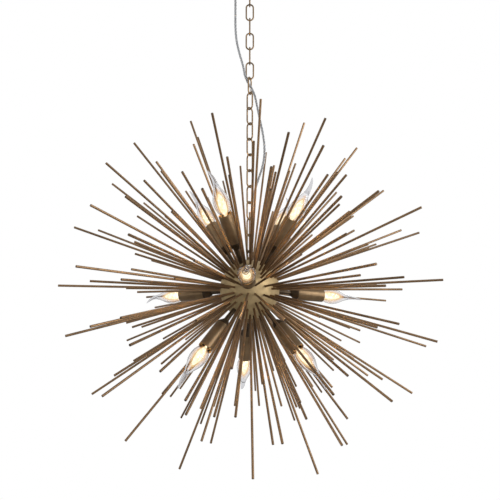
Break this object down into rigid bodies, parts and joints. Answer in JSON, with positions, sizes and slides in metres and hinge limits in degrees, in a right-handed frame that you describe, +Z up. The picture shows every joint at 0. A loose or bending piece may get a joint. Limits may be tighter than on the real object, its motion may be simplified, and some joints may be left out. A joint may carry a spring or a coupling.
{
  "type": "sputnik chandelier",
  "caption": "Chain-hung ball chandelier with radial metal rods of mixed lengths and candle bulbs in sleeved sockets around a hollow hub",
  "frame": {"origin": "centre of the ceiling face, where the ceiling bracket's feet and the canopy's rim meet the ceiling", "axes": "+Z up into the ceiling, -Y towards the side that the picture shows, +X to its right"},
  "size_m": [0.7792, 0.7724, 1.1383],
  "materials": {
    "antique_brass": "antique brushed brass, satin",
    "satin_brass": "satin champagne brass",
    "rod_bronze": "antique bronze plated rod",
    "dark_bronze": "dark bronze, satin",
    "chain_bronze": "antique bronze",
    "zinc_steel": "zinc plated",
    "nickel": "nickel plated",
    "contact_brass": "bright brass",
    "black_plastic": "moulded phenolic",
    "white_plastic": "moulded polyamide",
    "lead_insulation": "silicone insulation",
    "clear_pvc": "clear flexible sheath over grey strands",
    "clear_glass": "clear blown glass",
    "filament": "glowing filament"
  },
  "bodies": {
    "canopy": {"ceiling_bracket": "zinc_steel", "bracket_nuts": "zinc_steel", "canopy_nipple": "zinc_steel", "canopy_cup": "antique_brass", "canopy_collar": "antique_brass", "canopy_loop": "antique_brass", "cord_grip": "black_plastic", "terminal_block": "white_plastic"},
    "chain": {"chain_links": "chain_bronze", "clear_cord": "clear_pvc"},
    "end_link": {"end_link": "chain_bronze"},
    "hub": {"hub_loop": "antique_brass", "hub_upper_shell": "satin_brass", "hub_lower_shell": "satin_brass", "centre_tube": "zinc_steel", "hub_inner_nuts": "zinc_steel", "hub_cap_nut": "antique_brass", "cord_grommet": "black_plastic", "splice_block": "white_plastic", "rods_long": "rod_bronze", "rods_medium": "rod_bronze", "rods_short": "rod_bronze", "socket_arms": "dark_bronze", "arm_nuts": "zinc_steel", "socket_cups": "dark_bronze", "socket_sleeves": "antique_brass", "lampholders": "black_plastic", "screw_shells": "nickel", "centre_contacts": "contact_brass", "lamp_leads": "lead_insulation"},
    "bulb_01": {"bulb_glass_01": "clear_glass", "bulb_base_01": "nickel", "bulb_filament_01": "filament"},
    "bulb_02": {"bulb_glass_02": "clear_glass", "bulb_base_02": "nickel", "bulb_filament_02": "filament"},
    "bulb_03": {"bulb_glass_03": "clear_glass", "bulb_base_03": "nickel", "bulb_filament_03": "filament"},
    "bulb_04": {"bulb_glass_04": "clear_glass", "bulb_base_04": "nickel", "bulb_filament_04": "filament"},
    "bulb_05": {"bulb_glass_05": "clear_glass", "bulb_base_05": "nickel", "bulb_filament_05": "filament"},
    "bulb_06": {"bulb_glass_06": "clear_glass", "bulb_base_06": "nickel", "bulb_filament_06": "filament"},
    "bulb_07": {"bulb_glass_07": "clear_glass", "bulb_base_07": "nickel", "bulb_filament_07": "filament"},
    "bulb_08": {"bulb_glass_08": "clear_glass", "bulb_base_08": "nickel", "bulb_filament_08": "filament"},
    "bulb_09": {"bulb_glass_09": "clear_glass", "bulb_base_09": "nickel", "bulb_filament_09": "filament"},
    "bulb_10": {"bulb_glass_10": "clear_glass", "bulb_base_10": "nickel", "bulb_filament_10": "filament"}
  },
  "joints": [
    {"name": "chain_swing", "type": "hinge", "parent": "canopy", "child": "chain", "pos_m": [0, 0, -0.0578], "axis": [1, 0, 0], "range_deg": [-25, 25], "deforming": ["clear_cord"]},
    {"name": "chain_twist", "type": "hinge", "parent": "chain", "child": "end_link", "pos_m": [0, 0, -0.6457], "axis": [0, 0, 1], "range_deg": [-30, 30], "deforming": ["clear_cord"]},
    {"name": "hub_swing", "type": "hinge", "parent": "end_link", "child": "hub", "pos_m": [0, 0, -0.6804], "axis": [0.7071, -0.7071, 0], "range_deg": [-20, 20], "deforming": ["clear_cord"]},
    {"name": "bulb_01_out", "type": "slide", "parent": "hub", "child": "bulb_01", "axis": [-0.0297, -0.9995, 0.007], "range_m": [0, 0.06]},
    {"name": "bulb_02_out", "type": "slide", "parent": "hub", "child": "bulb_02", "axis": [0.9235, 0.3825, -0.0279], "range_m": [0, 0.06]},
    {"name": "bulb_03_out", "type": "slide", "parent": "hub", "child": "bulb_03", "axis": [-0.8829, 0.4694, -0.014], "range_m": [0, 0.06]},
    {"name": "bulb_04_out", "type": "slide", "parent": "hub", "child": "bulb_04", "axis": [-0.2868, -0.4967, 0.8192], "range_m": [0, 0.06]},
    {"name": "bulb_05_out", "type": "slide", "parent": "hub", "child": "bulb_05", "axis": [0.4989, -0.324, 0.8039], "range_m": [0, 0.06]},
    {"name": "bulb_06_out", "type": "slide", "parent": "hub", "child": "bulb_06", "axis": [0.3614, 0.3876, 0.848], "range_m": [0, 0.06]},
    {"name": "bulb_07_out", "type": "slide", "parent": "hub", "child": "bulb_07", "axis": [-0.4913, 0.1985, 0.848], "range_m": [0, 0.06]},
    {"name": "bulb_08_out", "type": "slide", "parent": "hub", "child": "bulb_08", "axis": [-0.5068, -0.4563, -0.7314], "range_m": [0, 0.06]},
    {"name": "bulb_09_out", "type": "slide", "parent": "hub", "child": "bulb_09", "axis": [0.5481, -0.3838, -0.7431], "range_m": [0, 0.06]},
    {"name": "bulb_10_out", "type": "slide", "parent": "hub", "child": "bulb_10", "axis": [-0.0614, 0.5846, -0.809], "range_m": [0, 0.06]}
  ]
}
